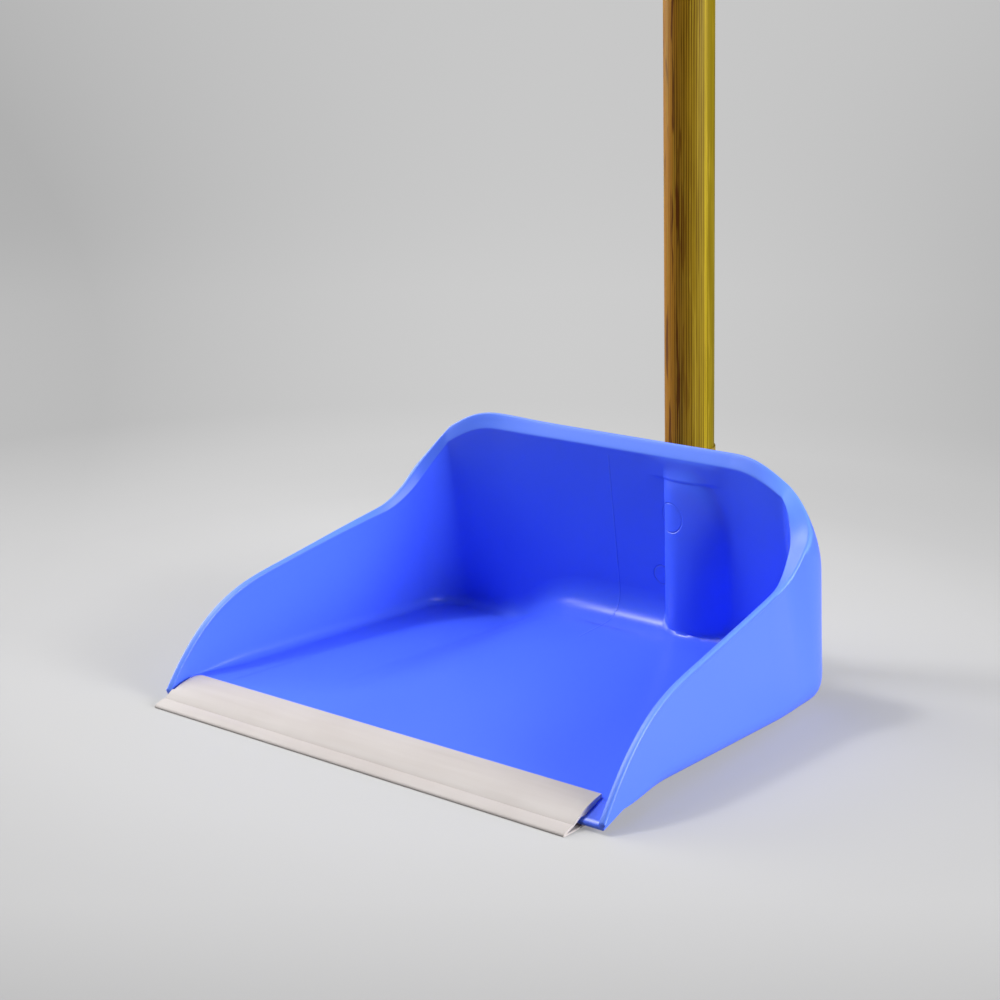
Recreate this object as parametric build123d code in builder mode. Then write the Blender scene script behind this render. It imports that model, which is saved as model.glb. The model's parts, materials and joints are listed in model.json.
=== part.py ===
from build123d import *
from math import atan, cos, hypot, pi, radians, sin, tan
import os

os.makedirs("parts", exist_ok=True)

# Driving dimensions in millimetres. X runs to the right, Y to the back, Z up, and Z = 0 is the floor.

# Pan, measured on its inner faces
mouth_width = 249.0      # between the side walls at their front tips
pan_depth = 197.6        # front edge to the back wall, at floor level
side_taper = 0.024       # inward run of each side wall per millimetre of depth
side_lean = 0.069        # inward lean of the side walls at the back corners
back_lean = 0.164        # forward lean of the back wall
corner_lean = 0.053      # extra inward lean of the inner face in the middle of a back corner
corner_run = 50.0        # it fades out over this length, both ways along the wall
corner_fill = 0.142      # the outer face leans this much less there, so the corner thickens upwards
fill_run = 30.0          # the thickening fades out over this length, both ways
corner_radius = 20.0     # plan radius of the two back corners
wall = 2.5

# Rim line: a rounded nose, a gentle slope, and an S-shaped climb to the back
back_height = 107.7      # inner rim edge along the back
nose_height = 37.2       # where the straight slope would start at the front tip
nose_run = 75.0          # the nose falls below that slope over this length
tip_height = 4.8         # rim height at the front tip
side_slope = 0.178
climb_run = 83.0         # length of the climb, measured along the wall
climb_past = 28.0        # the climb ends this far past the back corner
side_flare = (1.5, 0.62)   # outward and upward run of the flared rim along the sides
corner_flare = (8.3, 2.5)  # the same in the back corners
back_flare = (4.2, 5.9)    # the same along the back wall
flare_run = 40.0         # length over which the flare changes, before and after its widest place
flare_ahead = 6.0        # its widest place, ahead of the middle of the corner
shoulder_drop = 6.0      # outer face of the corner, below the rim's edge

# Floor: a front ramp, then a sheet that arches up towards the middle of the back
edge_thickness = 2.1
ramp_run = 14.5          # the lip strip lies on this ramp
ramp_height = 8.5
back_corner_height = 2.15   # floor height in the back corners
arch_height = 18.0       # floor height in the middle of the back
arch_weights = (0, 0, 3.2, -1.6, 3.2, 0, 0)   # control heights of 1 - 3p^4 + 2p^6
floor_fillet = 10.0      # inner radius between floor and walls
front_fillet = 0.8       # the same beside the ramp
fillet_run = 36.0        # length over which the small radius grows to the large one
outer_fillet = 9.0       # outer radius between floor and walls
foot = 11.0              # width of floor that belongs to the wall sections
foot_lap = 1.0           # overlap of that width and the floor
ramp_steps = 4           # sections along the ramp, the side, the corner and half of the back
side_steps = 10
turn_steps = 6           # along the end of the side, where the rim widens
corner_steps = 8
back_steps = 8

# Stick and socket
stick_x = 35.5           # socket axis, right of the pan's middle
stick_lean = 2.4         # degrees forward
stick_radius = 12.0
stick_length = 700.0
film_thickness = 0.3
rim_gap = 0.5            # stick to the back of the rim
mouth_drop = 10.0        # socket mouth below the top of the rim
socket_depth = 84.0
socket_end = 5.0         # closed lower end of the socket tube
tube_radius_top = 15.8
tube_radius_base = 14.0
collar_radius = 20.0
collar_height = 11.0
socket_mouth_radius = 11.5
socket_tip_radius = 9.5
boss_width = 23.0        # oval swelling of the back wall in front of the socket
boss_low = (4.0, 6.0)    # its middle, right of the socket axis, and its rise from the wall at its foot
boss_high = (7.0, 3.5)   # the same at its upper end
boss_drop = 10.0         # its upper end, below the inner rim edge
boss_sink = 2.0          # its lower end, below the top of the floor

# Ferrule
spigot_clearance = 0.08
shoulder_radius = 12.6
shoulder_height = 7.0
shoulder_gap = 0.1
tip_gap = 1.0            # spigot end to socket bottom
tenon_radius = 7.5       # turned-down end of the stick inside the ferrule
tenon_length = 40.0

# Hanging cap
cap_radius = 13.4
cap_grip = 34.0          # overlap on the stick
cap_rise = 36.0          # cap above the stick's end
cap_tab = 10.0           # thickness of the flattened tab
cap_neck = 8.0           # cap above the stick's end before the tab starts
cap_crown = 2.0          # radius of the flat left on the rounded top
hang_radius = 4.0
hang_below_top = 11.0    # hole centre below the cap's top

# Lip strip
sheet = 1.6
leg = 1.5                # thickness of the leg under the pan's edge
leg_reach = 9.0
lip_reach = 12.0         # lip ahead of the pan's front edge
lip_tip = 0.9
strip_left_gap = 0.3     # left end to the left wall
strip_right_gap = 8.5    # right end to the right wall
fit_gap = 0.1            # strip to the pan, above and below its front edge

# Positions worked out from the dimensions above
lean = radians(stick_lean)
taper = atan(side_taper)
rim_top = back_height + back_flare[1]
mouth_height = rim_top - mouth_drop
socket_base = mouth_height - socket_depth - socket_end
flare_length = hypot(*back_flare)
rim_back = back_flare[0] + wall * back_flare[1] / flare_length - back_lean * back_height
axis_at_rim = rim_back + rim_gap + stick_radius / cos(lean)   # behind the back wall's foot
axis_set_back = axis_at_rim + rim_top * tan(lean)            # the same at floor level
collar_base = mouth_height - collar_height
rear_reach = axis_set_back + collar_radius * cos(lean) - collar_base * sin(lean)
front_y = -(lip_reach + pan_depth + rear_reach) / 2 + lip_reach   # the pan's front edge
ramp_y = front_y + ramp_run
back_y = front_y + pan_depth
edge_base = leg + fit_gap                # underside of the front edge
edge_top = edge_base + edge_thickness
half_mouth = mouth_width / 2

stick_axis = (0, -sin(lean), cos(lean))
stick_plane = Plane(origin=(stick_x, back_y + axis_set_back, 0), x_dir=(1, 0, 0), z_dir=stick_axis)
stick_start = mouth_height + shoulder_gap + shoulder_height
stick_end = stick_start + stick_length
cap_top = stick_end + cap_rise
hang_point = stick_plane.from_local_coords((0, 0, cap_top - hang_below_top))
hang_plane = Plane(origin=hang_point, x_dir=(1, 0, 0), z_dir=stick_plane.y_dir)

# Plan of the inner face on the right: a straight side, a round corner and half of the back
corner_y = back_y - corner_radius
corner_x = half_mouth - (corner_radius + (corner_y - front_y) * sin(taper)) / cos(taper)
tangent_x = corner_x + corner_radius * cos(taper)
tangent_y = corner_y + corner_radius * sin(taper)
side_length = hypot(tangent_x - half_mouth, tangent_y - front_y)
corner_length = corner_radius * (pi / 2 - taper)
ramp_length = ramp_run / cos(taper)
climb_end = side_length + corner_length + climb_past
climb_start = climb_end - climb_run
corner_middle = side_length + corner_length / 2
flare_peak = corner_middle - flare_ahead


def smooth(t):
    t = min(max(t, 0), 1)
    return t * t * (3 - 2 * t)


def side_x(y):
    return half_mouth - side_taper * (y - front_y)


def floor_height(x, y):
    # top of the floor at a point of the plan
    if y <= ramp_y:
        return edge_top + (ramp_height - edge_top) * (y - front_y) / ramp_run
    share = (y - ramp_y) / (back_y - ramp_y)
    p = min(abs(x) / side_x(y), 1)
    arch = 1 - 3 * p**4 + 2 * p**6
    at_back = back_corner_height + (arch_height - back_corner_height) * arch
    return ramp_height + (at_back - ramp_height) * share


def rim_height(u):
    # height of the inner rim edge, u millimetres along the wall from the front tip
    nose = (nose_height - tip_height) * max(0, 1 - u / nose_run) ** 3
    side = nose_height + side_slope * u - nose
    climb = smooth((u - climb_start) / climb_run)
    return side + (back_height - side) * climb


def socket_radius(s):
    # bore of the socket, s millimetres up the stick's axis
    share = (s - mouth_height + socket_depth) / socket_depth
    return socket_tip_radius + (socket_mouth_radius - socket_tip_radius) * share


def wall_place(u):
    # plan point and outward direction of the section, u millimetres along the wall:
    # flush with the front edge at the tip, square to the wall from the corner on
    if u <= side_length:
        return half_mouth - u * sin(taper), front_y + u * cos(taper), taper * u / side_length
    if u <= side_length + corner_length:
        turn = taper + (u - side_length) / corner_radius
        return corner_x + corner_radius * cos(turn), corner_y + corner_radius * sin(turn), turn
    return corner_x - (u - side_length - corner_length), back_y, pi / 2


def wall_section(u):
    # closed section of the wall with its flared rim and its foot, on a plane square to the plan
    x, y, turn = wall_place(u)
    normal = Vector(cos(turn), sin(turn), 0)
    leaning = min(u / side_length, 1)
    cornered = smooth(1 - abs(u - corner_middle) / corner_run)
    up = Vector(-side_lean * leaning * cos(turn), -back_lean * leaning, 1) - normal * corner_lean * cornered
    plane = Plane(origin=(x, y, 0), x_dir=normal, z_dir=normal.cross(up))
    slant = up.dot(normal)
    stretch = up.dot(plane.y_dir)

    def at(out, z):
        return (out + slant * z, stretch * z)

    def floor_at(out):
        return floor_height(x + out * normal.X, y + out * normal.Y)

    rim = rim_height(u)
    widened = smooth((u - flare_peak) / flare_run + 1)
    past = smooth((u - flare_peak) / flare_run)
    flare, rise = (
        side + (corner - side) * widened + (back - corner) * past
        for side, corner, back in zip(side_flare, corner_flare, back_flare)
    )
    slope = hypot(flare, rise)
    edge_out = flare + wall * rise / slope
    edge_up = rim + rise - wall * flare / slope
    bend = rim - wall * flare / slope + wall * (slope - rise) / flare * rise / slope
    filled = smooth(1 - abs(u - corner_middle) / fill_run)
    bend -= shoulder_drop * filled
    grown = smooth((u - ramp_run) / fillet_run)
    fillet_in = front_fillet + (floor_fillet - front_fillet) * grown
    fillet_out = front_fillet + (outer_fillet - front_fillet) * grown
    heel = floor_at(0)
    thickness = wall
    if y < ramp_y:
        thickness = edge_thickness + (wall - edge_thickness) * max(0, (y - front_y) / ramp_run)
    sole = heel - thickness

    def outer_at(z):
        return at(wall + corner_fill * z * filled, z)

    with BuildSketch(plane) as section:
        with BuildLine():
            Line(at(-foot, floor_at(-foot)), at(-fillet_in, floor_at(-fillet_in)))
            Bezier(at(-fillet_in, floor_at(-fillet_in)), at(0, heel), at(0, heel + fillet_in))
            Line(at(0, heel + fillet_in), at(0, rim))
            Line(at(0, rim), at(flare, rim + rise))
            ThreePointArc(
                at(flare, rim + rise),
                at((flare + edge_out) / 2 + wall / 2 * flare / slope,
                   (rim + rise + edge_up) / 2 + wall / 2 * rise / slope),
                at(edge_out, edge_up),
            )
            Line(at(edge_out, edge_up), outer_at(bend))
            Line(outer_at(bend), outer_at(sole + fillet_out))
            Bezier(outer_at(sole + fillet_out), outer_at(sole), at(wall - fillet_out, sole))
            Line(at(wall - fillet_out, sole), at(-foot, floor_at(-foot) - thickness))
            Line(at(-foot, floor_at(-foot) - thickness), at(-foot, floor_at(-foot)))
        make_face()
    return section.sketch


# Floor of the pan, inside the wall's foot
with BuildPart() as pan_floor:
    with BuildSketch(Plane.YZ):
        with BuildLine():
            Polyline(
                (front_y, edge_base),
                (front_y, edge_top),
                (ramp_y, ramp_height),
                (ramp_y, ramp_height - wall),
                close=True,
            )
        make_face()
    extrude(amount=half_mouth, both=True)
    with BuildSketch(Plane.XZ.offset(-ramp_y)):
        reach = side_x(ramp_y)
        with BuildLine():
            Polyline(
                (-reach, ramp_height - wall),
                (-reach, ramp_height),
                (reach, ramp_height),
                (reach, ramp_height - wall),
                close=True,
            )
        make_face()
    with BuildSketch(Plane.XZ.offset(-back_y)):
        reach = side_x(back_y)
        rise = arch_height - back_corner_height
        arch = [
            (reach * (k / 3 - 1), back_corner_height + rise * weight)
            for k, weight in enumerate(arch_weights)
        ]
        under = [(x, z - wall) for x, z in reversed(arch)]
        with BuildLine():
            Line(under[-1], arch[0])
            Bezier(*arch)
            Line(arch[-1], under[0])
            Bezier(*under)
        make_face()
    loft(ruled=True)
    with BuildSketch(Plane.XY):
        inset = foot - foot_lap
        end_y = back_y - inset
        with BuildLine():
            Polyline(
                (inset - half_mouth, front_y),
                (half_mouth - inset, front_y),
                (side_x(end_y) - inset, end_y),
                (inset - side_x(end_y), end_y),
                close=True,
            )
        make_face()
    extrude(amount=arch_height + wall, mode=Mode.INTERSECT)

# Pan: wall, floor, boss and socket in one moulding
boss_base = floor_height(stick_x, back_y) - boss_sink
boss_top = back_height - boss_drop
corner_end = side_length + corner_length
spans = [
    (0, ramp_length, ramp_steps),
    (ramp_length, side_length - flare_run, side_steps),
    (side_length - flare_run, side_length, turn_steps),
    (side_length, corner_end, corner_steps),
    (corner_end, corner_end + corner_x, back_steps),
]
wall_spans = [
    [wall_section(start + (end - start) * k / steps) for k in range(steps + 1)]
    for start, end, steps in spans
]
with BuildPart() as pan:
    for sections in wall_spans:
        loft(sections)
    mirror(about=Plane.YZ)
    add(pan_floor.part)
    for height, (shift, stand) in ((boss_base, boss_low), (boss_top, boss_high)):
        with BuildSketch(Plane.XY.offset(height)):
            with Locations((stick_x + shift, back_y - back_lean * height + wall / 2)):
                Ellipse(boss_width / 2, stand + wall / 2)
    loft()
    with BuildSketch(stick_plane.offset(socket_base)):
        Circle(tube_radius_base)
    with BuildSketch(stick_plane.offset(mouth_height)):
        Circle(tube_radius_top)
    loft()
    with BuildSketch(stick_plane.offset(collar_base)):
        Circle(collar_radius)
    extrude(amount=collar_height)
    with BuildSketch(stick_plane.offset(mouth_height - socket_depth)):
        Circle(socket_tip_radius)
    with BuildSketch(stick_plane.offset(mouth_height)):
        Circle(socket_mouth_radius)
    loft(mode=Mode.SUBTRACT)

# Lip strip: a soft channel on the front edge, its upper sheet lying on the ramp
strip_left = side_x(ramp_y) - front_fillet - strip_left_gap
strip_right = side_x(ramp_y) - strip_right_gap
sheet_top = ramp_height + fit_gap + sheet
with BuildPart() as lip_strip:
    with BuildSketch(Plane.YZ.offset(-strip_left)):
        with BuildLine():
            Polyline(
                (front_y - lip_reach, 0),
                (front_y + leg_reach, 0),
                (front_y + leg_reach, leg),
                (front_y, leg),
                (front_y, edge_top + fit_gap),
                (ramp_y, ramp_height + fit_gap),
                (ramp_y, sheet_top),
                (front_y - lip_reach, lip_tip),
                close=True,
            )
        make_face()
    extrude(amount=strip_left + strip_right)

# Stick: a wooden core with a turned-down lower end, in a printed film
core_radius = stick_radius - film_thickness
with BuildPart() as stick_core:
    with BuildSketch(stick_plane.offset(stick_start - tenon_length)):
        Circle(tenon_radius)
    extrude(amount=tenon_length)
    with BuildSketch(stick_plane.offset(stick_start)):
        Circle(core_radius)
    extrude(amount=stick_length)

with BuildPart() as film_sleeve:
    with BuildSketch(stick_plane.offset(stick_start)):
        Circle(stick_radius)
        Circle(core_radius, mode=Mode.SUBTRACT)
    extrude(amount=stick_length)

# Ferrule: a shoulder on the socket mouth and a tapered spigot in the socket
spigot_end = mouth_height - socket_depth + tip_gap
with BuildPart() as ferrule:
    with BuildSketch(stick_plane.offset(stick_start - shoulder_height)):
        Circle(shoulder_radius)
    extrude(amount=shoulder_height)
    with BuildSketch(stick_plane.offset(spigot_end)):
        Circle(socket_radius(spigot_end) - spigot_clearance)
    with BuildSketch(stick_plane.offset(mouth_height + shoulder_gap)):
        Circle(socket_radius(mouth_height) - spigot_clearance)
    loft()
    with BuildSketch(stick_plane.offset(stick_start - tenon_length)):
        Circle(tenon_radius)
    extrude(amount=tenon_length, mode=Mode.SUBTRACT)

# Hanging cap: a sleeve over the stick's top with a flattened, pierced tab
tab_start = stick_end + cap_neck
with BuildPart() as hang_cap:
    with BuildSketch(stick_plane.offset(stick_end - cap_grip)):
        Circle(cap_radius)
    extrude(amount=cap_grip + cap_rise)
    fillet(hang_cap.faces().sort_by(Axis.Z)[-1].edges(), radius=cap_radius - cap_crown)
    with BuildSketch(stick_plane.offset(tab_start)):
        with Locations((0, cap_tab / 2 + cap_radius), (0, -cap_tab / 2 - cap_radius)):
            Rectangle(2 * cap_radius, 2 * cap_radius)
    extrude(amount=cap_top - tab_start, mode=Mode.SUBTRACT)
    with BuildSketch(hang_plane):
        Circle(hang_radius)
    extrude(amount=cap_radius, both=True, mode=Mode.SUBTRACT)
    with BuildSketch(stick_plane.offset(stick_end - cap_grip)):
        Circle(stick_radius)
    extrude(amount=cap_grip, mode=Mode.SUBTRACT)

pieces = {
    "pan": pan,
    "lip_strip": lip_strip,
    "stick_core": stick_core,
    "film_sleeve": film_sleeve,
    "ferrule": ferrule,
    "hang_cap": hang_cap,
}
for name, piece in pieces.items():
    piece.part.label = name
    export_step(piece.part, f"parts/{name}.step")
    print(name, piece.part.is_valid, len(piece.part.solids()), piece.part.bounding_box())
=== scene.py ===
import bmesh
import bpy
import json
from math import atan, cos, hypot, pi, radians, sin, sqrt
from mathutils import Matrix, Vector


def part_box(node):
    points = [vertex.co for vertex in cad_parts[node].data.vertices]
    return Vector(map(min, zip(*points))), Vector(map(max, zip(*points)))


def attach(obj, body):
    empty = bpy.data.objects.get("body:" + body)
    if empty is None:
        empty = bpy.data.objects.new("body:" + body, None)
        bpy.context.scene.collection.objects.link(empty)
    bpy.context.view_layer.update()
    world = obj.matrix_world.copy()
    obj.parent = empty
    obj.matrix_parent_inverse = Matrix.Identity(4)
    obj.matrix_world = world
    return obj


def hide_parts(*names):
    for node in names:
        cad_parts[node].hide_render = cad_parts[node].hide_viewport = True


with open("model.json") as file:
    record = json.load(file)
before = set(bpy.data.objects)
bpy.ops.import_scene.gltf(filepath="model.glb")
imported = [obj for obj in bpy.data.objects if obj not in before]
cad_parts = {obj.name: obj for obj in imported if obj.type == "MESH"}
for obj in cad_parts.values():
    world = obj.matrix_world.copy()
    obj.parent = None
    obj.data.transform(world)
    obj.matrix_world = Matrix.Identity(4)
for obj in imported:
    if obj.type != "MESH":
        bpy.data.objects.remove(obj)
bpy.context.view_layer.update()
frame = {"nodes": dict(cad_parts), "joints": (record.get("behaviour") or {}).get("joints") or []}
nodes = frame["nodes"]
scene = bpy.context.scene
scene.view_settings.view_transform = "Standard"
mm = 0.001
print("frame loaded:", ", ".join(sorted(nodes)))

# the stick's own frame: its axis is the joint's, its origin is where that axis meets the floor
stickAxis = Vector(frame["joints"][0]["axis"])
filmLow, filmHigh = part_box("film_sleeve")
filmMiddle = (filmLow + filmHigh) / 2
stickFoot = filmMiddle - stickAxis * filmMiddle.z / stickAxis.z
stickFrame = Matrix.Translation(stickFoot) @ stickAxis.to_track_quat("Z", "Y").to_matrix().to_4x4()


def eased(t):
    t = min(max(t, 0), 1)
    return t * t * (3 - 2 * t)


def between(a, b, t):
    return a + (b - a) * t


def run(a, b, steps):
    return [(between(a[0], b[0], k / steps), between(a[1], b[1], k / steps)) for k in range(1, steps + 1)]


def bend(a, corner, b, steps):
    # rounded corner from a to b, without a itself
    points = []
    for k in range(1, steps + 1):
        t = k / steps
        start, pull, end = (1 - t) ** 2, 2 * t * (1 - t), t * t
        points.append(tuple(start * p + pull * q + end * r for p, q, r in zip(a, corner, b)))
    return points


def softMax(a, b, reach):
    overlap = max(reach - abs(a - b), 0) / reach
    return max(a, b) + overlap * overlap * reach / 4


def skin(name, points, faces, body, slot, replaced, rimSheenShares=None):
    mesh = bpy.data.meshes.new(name)
    mesh.from_pydata([Vector(p) * mm for p in points], [], faces)
    shape = bmesh.new()
    shape.from_mesh(mesh)
    bmesh.ops.recalc_face_normals(shape, faces=shape.faces)
    shape.to_mesh(mesh)
    shape.free()
    mesh.polygons.foreach_set("use_smooth", [True] * len(mesh.polygons))
    mesh.set_sharp_from_angle(angle=radians(50))
    if rimSheenShares:
        mesh.attributes.new("rim", "FLOAT", "POINT").data.foreach_set("value", rimSheenShares)
    piece = bpy.data.objects.new(name, mesh)
    scene.collection.objects.link(piece)
    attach(piece, body)
    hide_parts(replaced)
    return piece


# moulded pan, in millimetres: sections along the wall, from the right front tip round to the left one
panForm = {
    "mouthWidth": 249.0,          # inner faces, at the front tips
    "depth": 197.6,
    "sideTaper": 0.024,
    "sideLean": 0.069,
    "backLean": 0.164,
    "cornerLean": 0.053,
    "cornerRun": 50.0,
    "cornerFill": 0.142,          # the corners thicken upwards
    "fillRun": 30.0,
    "cornerRadius": 20.0,
    "wall": 2.5,
    "backHeight": 107.7,          # rim line: nose, slope and climb
    "noseHeight": 37.2,
    "noseRun": 75.0,
    "tipHeight": 4.8,
    "sideSlope": 0.178,
    "climbRun": 83.0,
    "climbPast": 28.0,
    "sideFlare": (1.5, 0.62),     # outward and upward run of the rim
    "cornerFlare": (8.3, 2.5),
    "backFlare": (4.2, 5.9),
    "flareRun": 40.0,
    "flareAhead": 6.0,
    "shoulderDrop": 6.0,
    "shoulderShare": 0.3,         # how much of the lip's underside its rounding takes
    "rimRound": 0.7,
    "rimRoundShare": 0.3,         # of the wall's height, at most
    "edgeBase": 1.6,              # front edge and floor
    "edgeThickness": 2.1,
    "edgeRound": 0.5,
    "rampRun": 14.5,
    "rampHeight": 8.5,
    "backCornerHeight": 2.6,
    "archHeight": 18.0,
    "archLeft": 1.8,              # the arch falls off faster on the left
    "frontFillet": 0.8,           # floor to wall, inside
    "sideFillet": 6.0,
    "backFillet": 17.0,
    "filletRun": 36.0,            # length from the front radius to the side's
    "backAhead": 10.0,            # the back's radius starts this far ahead of the right corner
    "backPast": 20.0,             # and is reached this far past it
    "leftRun": 60.0,              # on the left it takes this length from the corner's end
    "outerFillet": 9.0,
    "cornerFillet": 5.5,          # added at the right back corner
    "foot": 19.0,
    "rampSteps": 6,               # how finely the skin is cut
    "sideSteps": 58,
    "cornerSteps": 22,
    "backStep": 3.0,
    "wallSteps": 22,
    "collarShares": [0.850, 0.857, 0.864, 0.871, 0.878],
    "filletSteps": 9,
    "crestSteps": 5,
    "stripRows": 4,
}
# the left part of the rim is drawn up steeper than the right: values to add at even steps along the wall
leftRim = {
    "ahead": 96.0,                # the first step, ahead of the corner's middle
    "step": 16.0,
    "flare": [0.5, 1.1, 1.4, 0.7, -1.6, -5.2, -5.8, -3.5, -1.4, -0.3, 0.0],
    "rise": [0.0, 0.1, 0.4, 1.0, 1.7, 1.8, 4.3, 2.6, 1.0, 0.9, 0.4],
    "drop": [0.1, 0.3, 0.7, 1.2, 1.9, 2.6, 0.8, 2.5, 0.4, 0.0, 0.2],
}
# swelling of the back wall in front of the socket, and the collar above it
bossForm = {
    "apex": (40.5, 45.0),         # its highest line, at the floor and at its top
    "left": 12.8,                 # reach to the left and to the right
    "right": 25.5,
    "rightBend": 2.2,
    "rise": (9.2, 3.4),           # at its foot and at its top
    "foot": 31.0,
    "top": 108.0,
    "slump": 30.0,                # its top falls away to the right
    "fade": 15.0,                 # it sinks into the wall over this height
    "blend": 1.2,
    "swayReach": 34.0,            # the skin's cuts follow its highest line this far to both sides
    "swayFade": 16.0,
    "cuts": 14,
    "leftCuts": (0.2, 0.5, 1.0, 1.8),   # beyond its left edge
    "collarMiddle": 45.0,
    "collarHalf": 19.0,
    "collarRise": 0.6,
    "collarBase": 96.5,
}
socketForm = {
    "mouth": 103.6,               # along the stick's axis
    "depth": 84.0,
    "end": 5.0,
    "tubeTop": 15.8,
    "tubeBase": 14.0,
    "collar": 20.0,
    "collarHeight": 11.0,
    "mouthRadius": 11.5,
    "tipRadius": 9.5,
    "round": 1.2,
    "around": 72,
}

wall = panForm["wall"]
foot = panForm["foot"]
cornerRadius = panForm["cornerRadius"]
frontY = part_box("pan")[0].y / mm
backY = frontY + panForm["depth"]
rampY = frontY + panForm["rampRun"]
edgeTop = panForm["edgeBase"] + panForm["edgeThickness"]
halfMouth = panForm["mouthWidth"] / 2
taper = atan(panForm["sideTaper"])
cornerY = backY - cornerRadius
cornerX = halfMouth - (cornerRadius + (cornerY - frontY) * sin(taper)) / cos(taper)
sideEndX = cornerX + cornerRadius * cos(taper)
sideEndY = cornerY + cornerRadius * sin(taper)
sideLength = hypot(sideEndX - halfMouth, sideEndY - frontY)
cornerLength = cornerRadius * (pi / 2 - taper)
cornerEnd = sideLength + cornerLength
cornerMiddle = sideLength + cornerLength / 2
climbStart = cornerEnd + panForm["climbPast"] - panForm["climbRun"]
flarePeak = cornerMiddle - panForm["flareAhead"]


def sideX(y):
    return halfMouth - panForm["sideTaper"] * (y - frontY)


def floorHeight(x, y):
    if y <= rampY:
        return between(edgeTop, panForm["rampHeight"], (y - frontY) / panForm["rampRun"])
    share = (y - rampY) / (backY - rampY)
    off = min(max(x, -x * panForm["archLeft"]) / sideX(y), 1)
    arch = 1 - 3 * off ** 4 + 2 * off ** 6
    atBack = between(panForm["backCornerHeight"], panForm["archHeight"], arch)
    return between(panForm["rampHeight"], atBack, share)


def floorThickness(y):
    return between(panForm["edgeThickness"], wall, min(max((y - frontY) / panForm["rampRun"], 0), 1))


def rimHeight(u):
    nose = (panForm["noseHeight"] - panForm["tipHeight"]) * max(0, 1 - u / panForm["noseRun"]) ** 3
    side = panForm["noseHeight"] + panForm["sideSlope"] * u - nose
    return between(side, panForm["backHeight"], eased((u - climbStart) / panForm["climbRun"]))


def wallPlace(u):
    if u <= sideLength:
        return halfMouth - u * sin(taper), frontY + u * cos(taper), taper * u / sideLength
    if u <= cornerEnd:
        turn = taper + (u - sideLength) / cornerRadius
        return cornerX + cornerRadius * cos(turn), cornerY + cornerRadius * sin(turn), turn
    return cornerX - (u - cornerEnd), backY, pi / 2


def leftAdded(u, kind):
    # smooth curve through what is added to the left part of the rim
    total = 0
    for k, value in enumerate(leftRim[kind]):
        off = abs((u - cornerMiddle + leftRim["ahead"]) / leftRim["step"] - k)
        total += value * ((4 - 6 * off * off + 3 * off ** 3) if off < 1 else max(0, 2 - off) ** 3) / 6
    return total


def bossApex(z):
    share = (z - panForm["archHeight"]) / (bossForm["collarBase"] - panForm["archHeight"])
    return between(*bossForm["apex"], share)


def bossRise(x, z):
    # how far the inner face stands forward of the plain wall
    off = x - bossApex(z)
    if off > 0:
        shape = 1 - min(off / bossForm["right"], 1) ** bossForm["rightBend"]
    else:
        shape = sqrt(max(0, 1 - (off / bossForm["left"]) ** 2))
    top = bossForm["top"] - bossForm["slump"] * (max(off, 0) / bossForm["right"]) ** 2
    shape *= eased((top - z) / bossForm["fade"])
    climb = min(max((z - bossForm["foot"]) / (bossForm["collarBase"] - bossForm["foot"]), 0), 1)
    rise = between(*bossForm["rise"], climb ** 1.5)
    return (rise + bossForm["blend"]) * shape - bossForm["blend"]


def collarRise(x, z, rim):
    across = sqrt(max(0, 1 - ((x - bossForm["collarMiddle"]) / bossForm["collarHalf"]) ** 2))
    return bossForm["collarRise"] * across * eased(z - bossForm["collarBase"]) * eased((rim - z) / 2)


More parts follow.
